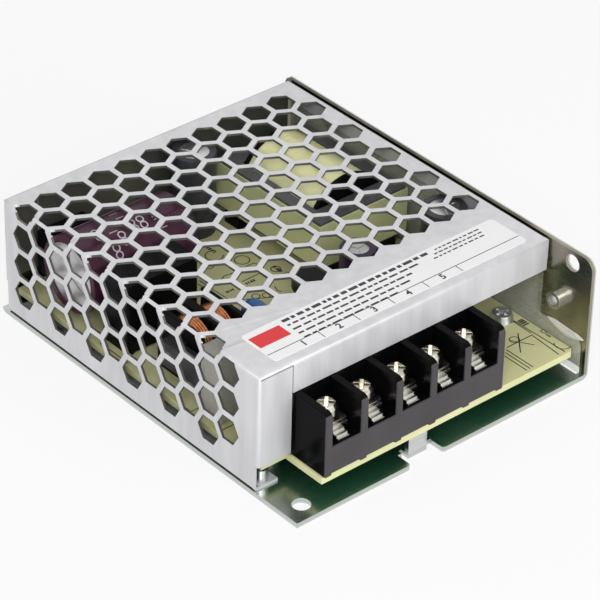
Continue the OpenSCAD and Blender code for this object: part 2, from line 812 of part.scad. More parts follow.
module bulk_leads() {
    x = bulk_at[0] + bulk_l;
    bend_x = x + seal_t + 1.2;
    color([0.75, 0.75, 0.72]) for (s = [-1, 1]) {
        y = bulk_at[1] + s * bulk_lead_gap / 2;
        x_rod([x, y, bulk_at[2]], lead_d, bend_x - x);
        translate([bend_x, y, bulk_at[2]]) sphere(d = lead_d);
        z_rod([bend_x, y, board_top], lead_d, bulk_at[2] - board_top);
    }
}

// Box, disc and moulded parts

module moulded_box(at, size, r) {
    difference() {
        translate([at[0], at[1], board_top]) linear_extrude(size[2])
            plan_round([0, 0], [size[0], size[1]], r);
        span([at[0] + 1.5, at[1] - 1, board_top - 1],
            [at[0] + size[0] - 1.5, at[1] + size[1] + 1, board_top + 0.4]);
    }
}

module x_capacitor() {
    color([0.10, 0.10, 0.11]) moulded_box(x_cap_at, x_cap, box_r);
}

module box_capacitor() {
    color([0.68, 0.66, 0.62]) moulded_box(box_cap_at, box_cap, box_r);
}

module disc_part(at, size, turn, tint) {
    r = size[0] / 2;
    h = size[1] / 2;
    color(tint) translate([at[0], at[1], board_top + disc_lift + r]) rotate([0, 0, turn]) {
        rotate([0, 90, 0]) rotate_extrude() intersection() {
            translate([0, -h]) square([r, 2 * h]);
            union() {
                translate([0, -h]) square([r - h, 2 * h]);
                translate([r - h, 0]) circle(h);
            }
        }
        for (s = [-1, 1]) z_rod([0, s * leg_gap / 2, -r - disc_lift], lead_d, disc_lift + r / 2);
    }
}

module disc_capacitor() {
    disc_part(disc_cap_at, disc_cap, 0, [0.12, 0.30, 0.62]);
}

module thermistor() {
    disc_part(therm_at, therm, 90, [0.13, 0.20, 0.15]);
}

module fuse() {
    color([0.20, 0.13, 0.10]) translate([fuse_at[0], fuse_at[1], board_top]) {
        cylinder(d = fuse_size[0] - 1, h = 0.6);
        translate([0, 0, 0.5]) cylinder(d = fuse_size[0], h = fuse_size[1] - 1.2);
        translate([0, 0, fuse_size[1] - 0.7])
            cylinder(d1 = fuse_size[0], d2 = fuse_size[0] - 1.4, h = 0.7);
    }
}

module bridge_rectifier() {
    color([0.11, 0.11, 0.12]) {
        translate([bridge_at[0], bridge_at[1], board_top + leg_h]) along_y(0, bridge_size[1])
            polygon([
                [0, 0], [bridge_size[0], 0], [bridge_size[0], bridge_size[2] - 2.4],
                [bridge_size[0] - 2.4, bridge_size[2]], [0, bridge_size[2]]
            ]);
        for (k = [0:3]) translate([
                bridge_at[0] + bridge_size[0] * (k + 0.5) / 4 - 0.4,
                bridge_at[1] + bridge_size[1] / 2 - 0.3, board_top
            ]) cube([0.8, 0.6, leg_h + 1]);
    }
}

module optocoupler() {
    color([0.12, 0.12, 0.12]) translate([opto_at[0], opto_at[1], board_top]) {
        translate([0, 0, 0.6]) cube(opto_size);
        for (x = [-0.5, opto_size[0]], y = [0.8, opto_size[1] - 1.4])
            translate([x, y, 0]) cube([0.5, 0.6, 2.4]);
    }
}

// Line choke

module choke_core() {
    z0 = choke_z - choke_leg[1] / 2;
    color([0.13, 0.13, 0.14]) along_z(z0, z0 + choke_leg[1])
        translate(choke_at) difference() {
            square(choke_core_size);
            translate([choke_end, choke_leg[0] - 0.9])
                square([choke_core_size[0] - 2 * choke_end,
                    choke_core_size[1] - 2 * choke_leg[0] + 0.9]);
        }
}

module choke_tube() {
    difference() {
        circle(d = choke_tube_d);
        square([choke_leg[0] + 2 * core_gap, choke_leg[1] + 2 * core_gap], center = true);
    }
}

module choke_flanges() {
    half = choke_flange / 2;
    difference() {
        translate([-half, board_top - choke_z]) square([choke_flange, choke_z - board_top + half]);
        square([choke_leg[0] + 2 * core_gap, choke_leg[1] + 2 * core_gap], center = true);
    }
}

module choke_bobbin() {
    mid = choke_bobbin_x + choke_flange_t[0] + choke_coil_l;
    color([0.12, 0.12, 0.13]) translate([0, choke_y, choke_z]) {
        along_x(choke_bobbin_x, choke_bobbin_x + choke_bobbin_l) choke_tube();
        along_x(choke_bobbin_x, choke_bobbin_x + choke_flange_t[0]) choke_flanges();
        along_x(mid, mid + choke_flange_t[1]) choke_flanges();
        along_x(choke_bobbin_x + choke_bobbin_l - choke_flange_t[0],
            choke_bobbin_x + choke_bobbin_l) choke_flanges();
    }
}

module choke_winding(k) {
    x = choke_bobbin_x + choke_flange_t[0] + clear
        + (k - 1) * (choke_coil_l + choke_flange_t[1]);
    color([0.80, 0.45, 0.22]) translate([0, choke_y, choke_z])
        along_x(x, x + choke_coil_l - 2 * clear) difference() {
            circle(d = choke_coil_d);
            circle(d = choke_tube_d + 2 * clear);
        }
}

// Transformer

module core_whole() {
    color([0.30, 0.30, 0.31]) difference() {
        span([core_at[0], core_at[1], core_h[1]],
            [core_at[0] + core_size[0], core_at[1] + core_size[1], core_h[1] + core_h[0]]);
        difference() {
            union() {
                y_rod([coil_x, core_at[1] + core_yoke, coil_z], coil_d + 4 * core_gap, window_l);
                span([coil_x - coil_d * 0.42, core_at[1] + core_yoke, 0],
                    [coil_x + coil_d * 0.42, core_at[1] + core_yoke + window_l, big]);
            }
            y_rod([coil_x, core_at[1], coil_z - coil_rise], core_post_d, core_size[1]);
        }
    }
}

module core_front() {
    intersection() {
        core_whole();
        span([0, 0, 0], [big, coil_y - eps, big]);
    }
}

module core_rear() {
    intersection() {
        core_whole();
        span([0, coil_y + eps, 0], [big, big, big]);
    }
}

module core_tape() {
    z0 = core_h[1] + (core_h[0] - tape_w) / 2;
    a = [core_at[0], core_at[1]];
    b = [core_at[0] + core_size[0], core_at[1] + core_size[1]];
    color([0.80, 0.78, 0.42]) along_z(z0, z0 + tape_w) difference() {
        translate([a[0] - tape_t, a[1] - tape_t])
            square([core_size[0] + 2 * tape_t, core_size[1] + 2 * tape_t]);
        translate(a) square(core_size);
    }
}

module transformer_bobbin() {
    y0 = core_at[1] + core_yoke + core_gap;
    rail_z = core_h[1] - core_gap;
    color([0.11, 0.11, 0.12]) difference() {
        union() {
            y_rod([coil_x, y0, coil_z], tube_d, bobbin_l);
            for (y = [y0, y0 + bobbin_l - cheek_t]) {
                y_rod([coil_x, y, coil_z], coil_d + 0.8, cheek_t);
                span([coil_x - coil_d * 0.4, y, board_top], [coil_x + coil_d * 0.4,
                    y + cheek_t, coil_z]);
            }
            for (y = [y0 + cheek_t - rail_d, y0 + bobbin_l - cheek_t])
                span([coil_x - coil_d * 0.55, y, board_top],
                    [coil_x + coil_d * 0.55, y + rail_d, rail_z]);
        }
        y_rod([coil_x, y0 - 1, coil_z - coil_rise], core_post_d + 2 * core_gap, bobbin_l + 2);
    }
}

module coil_ring(d_in, d_out) {
    l = bobbin_l - 2 * cheek_t - 2 * clear;
    translate([coil_x, coil_y - l / 2, coil_z]) rotate([-90, 0, 0]) difference() {
        cylinder(d = d_out, h = l);
        translate([0, 0, -1]) cylinder(d = d_in, h = l + 2);
    }
}

module transformer_winding() {
    color([0.72, 0.42, 0.20])
        coil_ring(tube_d + 2 * clear, coil_d - 2 * tape_t - 2 * clear);
}

module winding_tape() {
    color([0.93, 0.90, 0.52]) coil_ring(coil_d - 2 * tape_t, coil_d);
}

// Output inductor

module output_inductor() {
    color([0.13, 0.13, 0.14]) translate([choke_out_at[0], choke_out_at[1], board_top]) {
        cylinder(d = choke_out[0], h = choke_out_rim);
        cylinder(d = choke_out_coil_d, h = choke_out[1]);
        translate([0, 0, choke_out[1] - choke_out_rim])
            cylinder(d = choke_out[0], h = choke_out_rim);
    }
}

// Fasteners

module board_screws() {
    color([0.76, 0.76, 0.77]) for (p = pillars) translate([p[0], p[1], board_top])
        difference() {
            union() {
                z_rod([0, 0, -board_thread_l], fast_d, board_thread_l + eps);
                cylinder(d1 = board_head_d, d2 = board_head_d - 1, h = board_head_h);
            }
            for (a = [0, 90]) rotate(a) translate([-1.6, -0.4, board_head_h - 1])
                cube([3.2, 0.8, 2]);
        }
}

module sunk_screw() {
    difference() {
        union() {
            cylinder(d1 = sunk_d, d2 = fast_d, h = 1);
            cylinder(d = fast_d, h = cover_screw_l);
        }
        for (a = [0, 90]) rotate(a) translate([-1.4, -0.35, -1]) cube([2.8, 0.7, 1.6]);
    }
}

module cover_screws() {
    color([0.78, 0.78, 0.79]) {
        for (y = flange_screws) translate([flange_screw_x, y, 0]) sunk_screw();
        for (y = side_screws) translate([right, y, side_screw_z]) rotate([0, -90, 0])
            sunk_screw();
    }
}

chassis();
mesh_cover();
rating_label();
circuit_board();
insulating_film();
terminal_block();
contact_plate(1);  // contact_plate_1
contact_plate(2);  // contact_plate_2
contact_plate(3);  // contact_plate_3
contact_plate(4);  // contact_plate_4
contact_plate(5);  // contact_plate_5
clamp_washer(1);  // clamp_washer_1
clamp_washer(2);  // clamp_washer_2
clamp_washer(3);  // clamp_washer_3
clamp_washer(4);  // clamp_washer_4
clamp_washer(5);  // clamp_washer_5
terminal_screw(1);  // terminal_screw_1
terminal_screw(2);  // terminal_screw_2
terminal_screw(3);  // terminal_screw_3
terminal_screw(4);  // terminal_screw_4
terminal_screw(5);  // terminal_screw_5
adjuster_body();
adjuster_rotor();
indicator_lamp();
bulk_can();
bulk_sleeve();
bulk_seal();
bulk_leads();
standing_can(out_cap_at, out_cap);  // output_can
standing_sleeve(out_cap_at, out_cap, [0.30, 0.31, 0.34]);  // output_sleeve
standing_can(rear_cap_at, rear_cap);  // rear_can
standing_sleeve(rear_cap_at, rear_cap, [0.30, 0.31, 0.34]);  // rear_sleeve
standing_can(small_cap_at, small_cap);  // small_can
standing_sleeve(small_cap_at, small_cap, [0.20, 0.15, 0.25]);  // small_sleeve
x_capacitor();
box_capacitor();
disc_capacitor();
thermistor();
fuse();
bridge_rectifier();
choke_core();
choke_bobbin();
choke_winding(1);  // choke_winding_1
choke_winding(2);  // choke_winding_2
core_front();
core_rear();
core_tape();
transformer_bobbin();
transformer_winding();
winding_tape();
output_inductor();
optocoupler();
board_screws();
cover_screws();
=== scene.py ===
import bpy, bmesh, math, random
from mathutils import Matrix, Vector


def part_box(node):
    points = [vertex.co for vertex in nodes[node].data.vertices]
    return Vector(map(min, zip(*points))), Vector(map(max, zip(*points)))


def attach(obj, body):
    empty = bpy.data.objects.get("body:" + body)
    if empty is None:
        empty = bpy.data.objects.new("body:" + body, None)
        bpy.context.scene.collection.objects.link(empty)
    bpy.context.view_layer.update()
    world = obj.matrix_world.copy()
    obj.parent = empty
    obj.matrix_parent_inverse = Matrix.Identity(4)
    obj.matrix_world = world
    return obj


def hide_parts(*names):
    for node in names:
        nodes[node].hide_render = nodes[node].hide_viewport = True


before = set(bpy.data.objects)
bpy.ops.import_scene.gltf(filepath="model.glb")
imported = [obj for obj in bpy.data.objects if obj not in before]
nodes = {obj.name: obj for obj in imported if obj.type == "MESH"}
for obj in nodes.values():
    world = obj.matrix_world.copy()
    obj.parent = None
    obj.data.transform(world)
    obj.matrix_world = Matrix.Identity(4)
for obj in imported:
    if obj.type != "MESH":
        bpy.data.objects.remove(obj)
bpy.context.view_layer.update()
mm = 0.001  # lengths below are in mm, but for the lamps, camera and floor, in metres
bays = range(1, 6)  # the terminals, from the left
random.seed(17)
print("frame loaded:", len(nodes), "nodes")

noiseSpan = (0.3, 0.7)  # where most of a noise's values lie


def startFinish(name):
    mat = bpy.data.materials.new(name)
    mat.use_nodes = True
    tree = mat.node_tree
    shader = tree.nodes["Principled BSDF"]
    place = tree.nodes.new("ShaderNodeTexCoord")
    return mat, tree, shader, place.outputs["Object"]


def addNoise(tree, place, scale, detail=3.0, stretch=(1, 1, 1)):
    mapping = tree.nodes.new("ShaderNodeMapping")
    mapping.inputs["Scale"].default_value = stretch
    noise = tree.nodes.new("ShaderNodeTexNoise")
    noise.inputs["Scale"].default_value = scale
    noise.inputs["Detail"].default_value = detail
    tree.links.new(place, mapping.inputs["Vector"])
    tree.links.new(mapping.outputs["Vector"], noise.inputs["Vector"])
    return noise.outputs["Fac"]


def addRamp(tree, fac, dark, pale, start=0.32, end=0.68):
    ramp = tree.nodes.new("ShaderNodeValToRGB")
    for element, spot, colour in zip(ramp.color_ramp.elements, (start, end), (dark, pale)):
        element.position = spot
        element.color = (*colour, 1)
    tree.links.new(fac, ramp.inputs["Fac"])
    return ramp.outputs["Color"]


def addRange(tree, fac, low, high, start=0.0, end=1.0):
    spread = tree.nodes.new("ShaderNodeMapRange")
    spread.inputs["From Min"].default_value = start
    spread.inputs["From Max"].default_value = end
    spread.inputs["To Min"].default_value = low
    spread.inputs["To Max"].default_value = high
    tree.links.new(fac, spread.inputs["Value"])
    return spread.outputs["Result"]


def addMath(tree, kind, a, b):
    node = tree.nodes.new("ShaderNodeMath")
    node.operation = kind
    for socket, value in zip(node.inputs, (a, b)):
        if isinstance(value, (int, float)):
            socket.default_value = value
        else:
            tree.links.new(value, socket)
    return node.outputs[0]


def addAverage(tree, a, b):
    return addMath(tree, "ADD", addMath(tree, "MULTIPLY", a, 0.5), addMath(tree, "MULTIPLY", b, 0.5))


def allOf(tree, first, *others):
    # 1 where every test is 1, else 0
    result = first
    for test in others:
        result = addMath(tree, "MULTIPLY", result, test)
    return result


def anyOf(tree, first, *others):
    result = first
    for test in others:
        result = addMath(tree, "MAXIMUM", result, test)
    return result


def isAbove(tree, value, level):
    return addMath(tree, "GREATER_THAN", value, level)


def isBelow(tree, value, level):
    return addMath(tree, "LESS_THAN", value, level)


def isBetween(tree, value, low, high):
    return allOf(tree, isAbove(tree, value, low), isBelow(tree, value, high))


def addMix(tree, fac, a, b):
    node = tree.nodes.new("ShaderNodeMix")
    node.data_type = "RGBA"
    tree.links.new(fac, node.inputs["Factor"])
    for socket, value in ((node.inputs["A"], a), (node.inputs["B"], b)):
        if isinstance(value, tuple):
            socket.default_value = (*value, 1)
        else:
            tree.links.new(value, socket)
    return node.outputs["Result"]


def addBump(tree, shader, height, strength, distance):
    bump = tree.nodes.new("ShaderNodeBump")
    bump.inputs["Strength"].default_value = strength
    bump.inputs["Distance"].default_value = distance
    tree.links.new(height, bump.inputs["Height"])
    tree.links.new(bump.outputs["Normal"], shader.inputs["Normal"])


def axisOf(tree, place, axis):
    split = tree.nodes.new("ShaderNodeSeparateXYZ")
    tree.links.new(place, split.inputs["Vector"])
    return split.outputs[axis]


# what a finish has where its own look says nothing else
plainLook = {"cloud": 60, "stretch": (1, 1, 1), "metal": 0.0, "coat": 0.0, "coatRough": 0.1,
             "shine": 0.5, "bump": 0.15, "depth": 0.02}


def makeFinish(name, ownLook):
    look = plainLook | ownLook
    mat, tree, shader, place = startFinish(name)
    grain = addNoise(tree, place, look["grain"], stretch=look["stretch"])
    cloud = addNoise(tree, place, look["cloud"], detail=2.0)
    both = addAverage(tree, grain, cloud)
    tree.links.new(addRamp(tree, both, look["dark"], look["pale"]), shader.inputs["Base Color"])
    tree.links.new(addRange(tree, both, *look["rough"], *noiseSpan), shader.inputs["Roughness"])
    shader.inputs["Metallic"].default_value = look["metal"]
    shader.inputs["Coat Weight"].default_value = look["coat"]
    shader.inputs["Coat Roughness"].default_value = look["coatRough"]
    shader.inputs["Specular IOR Level"].default_value = look["shine"]
    addBump(tree, shader, grain, look["bump"], look["depth"] * mm)
    return mat


edgeLook = {"weld": 0.002, "flatAngle": 0.3, "least": 0.02, "segments": 2, "angle": 32}  # mm and degrees


def roundEdges(obj, edge, angle):
    if "custom_normal" in obj.data.attributes:
        obj.data.attributes.remove(obj.data.attributes["custom_normal"])
    obj.data.polygons.foreach_set("use_smooth", [True] * len(obj.data.polygons))
    weld = obj.modifiers.new("weld", "WELD")
    weld.merge_threshold = edgeLook["weld"] * mm
    flat = obj.modifiers.new("flat", "DECIMATE")
    flat.decimate_type = "DISSOLVE"
    flat.angle_limit = math.radians(edgeLook["flatAngle"])
    bevel = obj.modifiers.new("edge", "BEVEL")
    bevel.width = max(edge, edgeLook["least"]) * mm
    bevel.segments = edgeLook["segments"]
    bevel.limit_method = "ANGLE"
    bevel.angle_limit = math.radians(angle)
    bevel.harden_normals = True
    bevel.use_clamp_overlap = True


def dress(nodeName, mat, edge, angle=edgeLook["angle"]):
    obj = nodes[nodeName]
    obj.data.materials.clear()
    obj.data.materials.append(mat)
    roundEdges(obj, edge, angle)


# the colour for the punched hole walls and the sheet's inner face is painted shade
coverLook = {"dark": (0.58, 0.58, 0.60), "pale": (0.72, 0.72, 0.74), "cutShade": (0.15, 0.148, 0.13),
             "grain": 900, "streak": 420, "stretch": (1, 1, 0.10), "cloud": 40,
             "rough": (0.48, 0.58), "cutRough": 0.34, "metal": 0.40, "bump": 0.08, "depth": 0.02,
             "skin": 0.05, "fold": 1.4, "edge": 0.05, "edgeAngle": 60}


def makeCoverFinish():
    mat, tree, shader, place = startFinish("coverSheet")
    grain = addNoise(tree, place, coverLook["grain"])
    streak = addNoise(tree, place, coverLook["streak"], detail=2.0, stretch=coverLook["stretch"])
    cloud = addNoise(tree, place, coverLook["cloud"])
    both = addAverage(tree, streak, cloud)
    outer = addRamp(tree, both, coverLook["dark"], coverLook["pale"])
    low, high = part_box("mesh_cover")
    x, y, z = (axisOf(tree, place, axis) for axis in "XYZ")
    skin, fold = coverLook["skin"] * mm, coverLook["fold"] * mm
    pastSide = isAbove(tree, x, low.x + fold)
    pastFront = isAbove(tree, y, low.y + fold)
    underTop = isBelow(tree, z, high.z - fold)
    inTop = allOf(tree, isBetween(tree, z, high.z - fold, high.z - skin), pastSide, pastFront)
    inSide = allOf(tree, isBetween(tree, x, low.x + skin, low.x + fold), underTop, pastFront)
    inRear = allOf(tree, isBetween(tree, y, high.y - fold, high.y - skin), underTop, pastSide)
    cutShade = anyOf(tree, inTop, inSide, inRear)  # punched edges and the inner face of the sheet, painted dark as shade
    tree.links.new(addMix(tree, cutShade, outer, coverLook["cutShade"]), shader.inputs["Base Color"])
    rough = addRange(tree, both, *coverLook["rough"], *noiseSpan)
    cutRough = addRange(tree, cutShade, 1.0, coverLook["cutRough"])  # 1 leaves the outside as it is
    tree.links.new(addMath(tree, "MINIMUM", rough, cutRough), shader.inputs["Roughness"])
    shader.inputs["Metallic"].default_value = coverLook["metal"]
    addBump(tree, shader, grain, coverLook["bump"], coverLook["depth"] * mm)
    return mat


# the inner-wall colours are painted shade with a painted reflection of the board's olive in it, lighter
# towards the cover's open front; the floor colour is a painted reflection of the board's green
chassisLook = {"dark": (0.58, 0.58, 0.57), "pale": (0.70, 0.70, 0.69),
               "inside": (0.08, 0.074, 0.055), "insidePale": (0.18, 0.168, 0.13),
               "open": (0.26, 0.245, 0.195), "openPale": (0.42, 0.395, 0.32), "openRun": 8,
               "floor": (0.52, 0.57, 0.53), "grain": 700, "stretch": (0.12, 0.12, 1), "cloud": 40,
               "streak": 120, "streakStretch": (1, 1, 0.12), "streakStart": 0.35,
               "rough": (0.20, 0.32), "metal": 1.0, "bump": 0.05, "depth": 0.01,
               "sheet": 1.25, "skin": 0.4, "edge": 0.10}


def makeChassisFinish():
    # the walls' inner faces carry painted shade with a painted reflection of the board's olive, streaked as
    # painted blurred reflections, and the floor has a painted reflection of the board's green in it
    mat, tree, shader, place = startFinish("chassisSheet")
    grain = addNoise(tree, place, chassisLook["grain"], stretch=chassisLook["stretch"])
    cloud = addNoise(tree, place, chassisLook["cloud"], detail=2.0)
    streak = addNoise(tree, place, chassisLook["streak"], detail=2.0, stretch=chassisLook["streakStretch"])
    both = addAverage(tree, grain, cloud)
    outer = addRamp(tree, both, chassisLook["dark"], chassisLook["pale"])
    low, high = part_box("chassis")
    x, y, z = (axisOf(tree, place, axis) for axis in "XYZ")
    start = chassisLook["streakStart"]
    shutShade = addRamp(tree, streak, chassisLook["inside"], chassisLook["insidePale"], start)
    mouthShadeColour = addRamp(tree, streak, chassisLook["open"], chassisLook["openPale"], start)
    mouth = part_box("mesh_cover")[0].y
    nearMouth = addRange(tree, y, 1.0, 0.0, mouth, mouth + chassisLook["openRun"] * mm)
    wallShade = addMix(tree, nearMouth, shutShade, mouthShadeColour)  # less painted shade in front of the cover, where light reaches the walls
    skin, sheet = chassisLook["skin"] * mm, chassisLook["sheet"] * mm
    right = isBetween(tree, x, high.x - sheet, high.x - skin)
    left = isBetween(tree, x, low.x + skin, low.x + sheet)
    rear = isBetween(tree, y, high.y - sheet, high.y - skin)
    inWalls = allOf(tree, anyOf(tree, left, right, rear), isAbove(tree, z, low.z + sheet))
    inFloor = isBetween(tree, z, low.z + skin, low.z + sheet)
    colour = addMix(tree, inFloor, addMix(tree, inWalls, outer, wallShade), chassisLook["floor"])
    tree.links.new(colour, shader.inputs["Base Color"])
    tree.links.new(addRange(tree, both, *chassisLook["rough"], *noiseSpan), shader.inputs["Roughness"])
    shader.inputs["Metallic"].default_value = chassisLook["metal"]
    addBump(tree, shader, grain, chassisLook["bump"], chassisLook["depth"] * mm)
    return mat


dress("mesh_cover", makeCoverFinish(), coverLook["edge"], coverLook["edgeAngle"])
dress("chassis", makeChassisFinish(), chassisLook["edge"])
print("case dressed")


boardLook = {"top": (0.74, 0.73, 0.41), "topShade": (0.66, 0.66, 0.35), "under": (0.03, 0.24, 0.12),
             "underShade": (0.02, 0.17, 0.085), "spots": (0.35, 0.65), "grain": 1500, "cloud": 70,
             "rough": (0.34, 0.48), "bump": 0.15, "depth": 0.01, "skin": 0.02, "edge": 0.08}


def makeBoardFinish():
    mat, tree, shader, place = startFinish("boardLaminate")
    grain = addNoise(tree, place, boardLook["grain"], detail=4.0)
    cloud = addNoise(tree, place, boardLook["cloud"], detail=2.0)
    topColour = addRamp(tree, cloud, boardLook["topShade"], boardLook["top"], *boardLook["spots"])
    underColour = addRamp(tree, cloud, boardLook["underShade"], boardLook["under"], *boardLook["spots"])
    isUnder = isBelow(tree, axisOf(tree, place, "Z"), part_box("circuit_board")[0].z + boardLook["skin"] * mm)
    tree.links.new(addMix(tree, isUnder, topColour, underColour), shader.inputs["Base Color"])
    tree.links.new(addRange(tree, grain, *boardLook["rough"]), shader.inputs["Roughness"])
    addBump(tree, shader, grain, boardLook["bump"], boardLook["depth"] * mm)
    return mat


dress("circuit_board", makeBoardFinish(), boardLook["edge"])


filmLook = {"tint": (0.78, 0.80, 0.66), "tintPale": (0.86, 0.87, 0.76), "wave": 90, "stretch": (1, 1, 0.3),
            "alpha": 0.32, "rough": (0.10, 0.18), "shine": 0.8, "coat": 0.6, "bump": 0.5, "depth": 0.4,
            "edge": 0.02}


def makeFilmFinish():
    mat, tree, shader, place = startFinish("clearFilm")
    wave = addNoise(tree, place, filmLook["wave"], detail=1.0, stretch=filmLook["stretch"])
    colour = addRamp(tree, wave, filmLook["tint"], filmLook["tintPale"], *noiseSpan)
    tree.links.new(colour, shader.inputs["Base Color"])
    tree.links.new(addRange(tree, wave, *filmLook["rough"]), shader.inputs["Roughness"])
    shader.inputs["Alpha"].default_value = filmLook["alpha"]
    shader.inputs["Specular IOR Level"].default_value = filmLook["shine"]
    shader.inputs["Coat Weight"].default_value = filmLook["coat"]
    addBump(tree, shader, wave, filmLook["bump"], filmLook["depth"] * mm)
    return mat


dress("insulating_film", makeFilmFinish(), filmLook["edge"])


labelLook = {"dark": (0.84, 0.84, 0.85), "pale": (0.90, 0.90, 0.90), "grain": 1600, "rough": (0.40, 0.52),
             "bump": 0.04, "edge": 0.02, "sink": 0.02}
dress("rating_label", makeFinish("labelPaper", labelLook), labelLook["edge"])
sink = nodes["rating_label"].modifiers.new("sink", "DISPLACE")  # leaves room for the print
sink.direction, sink.strength, sink.mid_level = "Z", -labelLook["sink"] * mm, 0.0
print("board, film and label dressed")


mouldedLooks = {
    "blackMoulding": {"dark": (0.003, 0.003, 0.0035), "pale": (0.008, 0.0075, 0.009), "grain": 1300,
                      "rough": (0.26, 0.38), "bump": 0.12, "shine": 0.07},
    "brownMoulding": {"dark": (0.05, 0.025, 0.018), "pale": (0.08, 0.04, 0.03), "grain": 900,
                      "rough": (0.35, 0.5)},
    "paleMoulding": {"dark": (0.4, 0.38, 0.34), "pale": (0.5, 0.48, 0.44), "grain": 900,
                     "rough": (0.35, 0.5)},
    "blueMoulding": {"dark": (0.02, 0.05, 0.2), "pale": (0.04, 0.09, 0.3), "grain": 900,
                     "rough": (0.3, 0.42)},
    "whiteMoulding": {"dark": (0.68, 0.67, 0.62), "pale": (0.8, 0.79, 0.74), "grain": 900,
                      "rough": (0.32, 0.45)},
    "blueResin": {"dark": (0.02, 0.1, 0.36), "pale": (0.04, 0.19, 0.55), "grain": 500,
                  "rough": (0.22, 0.32), "coat": 0.3},
    "greenResin": {"dark": (0.01, 0.03, 0.02), "pale": (0.02, 0.06, 0.035), "grain": 500,
                   "rough": (0.25, 0.35)},
    "lampResin": {"dark": (0.06, 0.3, 0.08), "pale": (0.1, 0.42, 0.12), "grain": 500, "rough": (0.1, 0.18),
                  "coat": 0.4},
    "greySleeve": {"dark": (0.03, 0.032, 0.038), "pale": (0.07, 0.075, 0.085), "grain": 500,
                   "rough": (0.28, 0.4), "shine": 0.3},
    "purpleSleeve": {"dark": (0.03, 0.015, 0.05), "pale": (0.06, 0.03, 0.08), "grain": 500,
                     "rough": (0.28, 0.4)},
    "maroonSleeve": {"dark": (0.05, 0.014, 0.03), "pale": (0.095, 0.026, 0.058), "grain": 400,
                     "rough": (0.26, 0.38), "shine": 0.3},
    "sealRubber": {"dark": (0.012, 0.012, 0.012), "pale": (0.025, 0.025, 0.025), "grain": 900,
                   "rough": (0.6, 0.75)},
    "greyFerrite": {"dark": (0.06, 0.06, 0.065), "pale": (0.13, 0.13, 0.135), "grain": 1500,
                    "rough": (0.4, 0.55), "bump": 0.3},
    "blackFerrite": {"dark": (0.012, 0.012, 0.013), "pale": (0.04, 0.04, 0.042), "grain": 1100,
                     "rough": (0.35, 0.5), "bump": 0.5, "depth": 0.06},
    "coreTape": {"dark": (0.76, 0.8, 0.4), "pale": (0.86, 0.89, 0.52), "grain": 260, "stretch": (1, 1, 0.1),
                 "rough": (0.28, 0.4), "coat": 0.15},
    "coilTape": {"dark": (0.88, 0.88, 0.44), "pale": (0.95, 0.94, 0.56), "grain": 220, "stretch": (1, 4, 1),
                 "rough": (0.26, 0.38), "coat": 0.2},
    "shrinkTube": {"dark": (0.006, 0.006, 0.007), "pale": (0.016, 0.016, 0.018), "grain": 400,
                   "rough": (0.3, 0.42), "bump": 0.3, "shine": 0.15, "depth": 0.05},
}
metalLooks = {
    "canMetal": {"dark": (0.62, 0.62, 0.62), "pale": (0.78, 0.78, 0.78), "grain": 700,
                 "rough": (0.28, 0.42), "metal": 0.9},
    "tinnedMetal": {"dark": (0.66, 0.65, 0.6), "pale": (0.84, 0.83, 0.78), "grain": 700,
                    "rough": (0.18, 0.32), "metal": 1.0, "bump": 0.2},
    "nickelPlate": {"dark": (0.3, 0.28, 0.21), "pale": (0.88, 0.85, 0.76), "grain": 420, "cloud": 300,
                    "rough": (0.12, 0.3), "metal": 1.0, "bump": 0.6, "depth": 0.05},
    "zincPlate": {"dark": (0.58, 0.59, 0.6), "pale": (0.76, 0.77, 0.78), "grain": 600,
                  "rough": (0.24, 0.38), "metal": 1.0},
    "copperWire": {"dark": (0.5, 0.16, 0.045), "pale": (0.86, 0.38, 0.14), "grain": 300,
                   "rough": (0.2, 0.32), "metal": 0.9, "coat": 0.3},
}
finishes = {name: makeFinish(name, look) for name, look in (mouldedLooks | metalLooks).items()}

wornBy = {
    "blackMoulding": ("x_capacitor", "bridge_rectifier", "choke_bobbin", "transformer_bobbin", "optocoupler"),
    "brownMoulding": ("fuse",),
    "paleMoulding": ("box_capacitor",),
    "blueMoulding": ("adjuster_body",),
    "whiteMoulding": ("adjuster_rotor",),
    "blueResin": ("disc_capacitor",),
    "greenResin": ("thermistor",),
    "lampResin": ("indicator_lamp",),
    "greySleeve": ("output_sleeve", "rear_sleeve"),
    "purpleSleeve": ("small_sleeve",),
    "maroonSleeve": ("bulk_sleeve",),
    "sealRubber": ("bulk_seal",),
    "greyFerrite": ("core_front", "core_rear"),
    "blackFerrite": ("choke_core",),
    "coreTape": ("core_tape",),
    "coilTape": ("winding_tape",),
    "shrinkTube": ("output_inductor",),
    "canMetal": ("bulk_can", "output_can", "rear_can", "small_can"),
    "tinnedMetal": ("bulk_leads", *(f"contact_plate_{k}" for k in bays)),
    "nickelPlate": tuple(f"{kind}_{k}" for kind in ("clamp_washer", "terminal_screw") for k in bays),
    "zincPlate": ("board_screws", "cover_screws"),
    "copperWire": ("choke_winding_1", "choke_winding_2", "transformer_winding"),
}
edgeWidths = {"x_capacitor": 0.25, "box_capacitor": 0.25, "core_front": 0.25, "core_rear": 0.25,
              "choke_core": 0.3, "choke_bobbin": 0.15, "transformer_bobbin": 0.15,
              "adjuster_body": 0.15, "bridge_rectifier": 0.2}
usualEdge = 0.08
for finish, wearers in wornBy.items():
    for wearer in wearers:
        dress(wearer, finishes[finish], edgeWidths.get(wearer, usualEdge))


# the front face colour and the near-black colour of the wells and sides are lit and shaded copies of one
# moulding: painted light and painted shade
blockLook = {"litFront": (0.070, 0.065, 0.069), "litFrontPale": (0.082, 0.076, 0.081),
             "shadedWells": (0.002, 0.002, 0.0025), "shadedWellsPale": (0.004, 0.004, 0.0045),
             "mattRough": 0.55, "glossRough": (0.13, 0.21), "grain": 1500, "cloud": 120,
             "shine": 0.05, "bump": 0.10, "depth": 0.02, "frontRun": 0.35, "edge": 0.15}


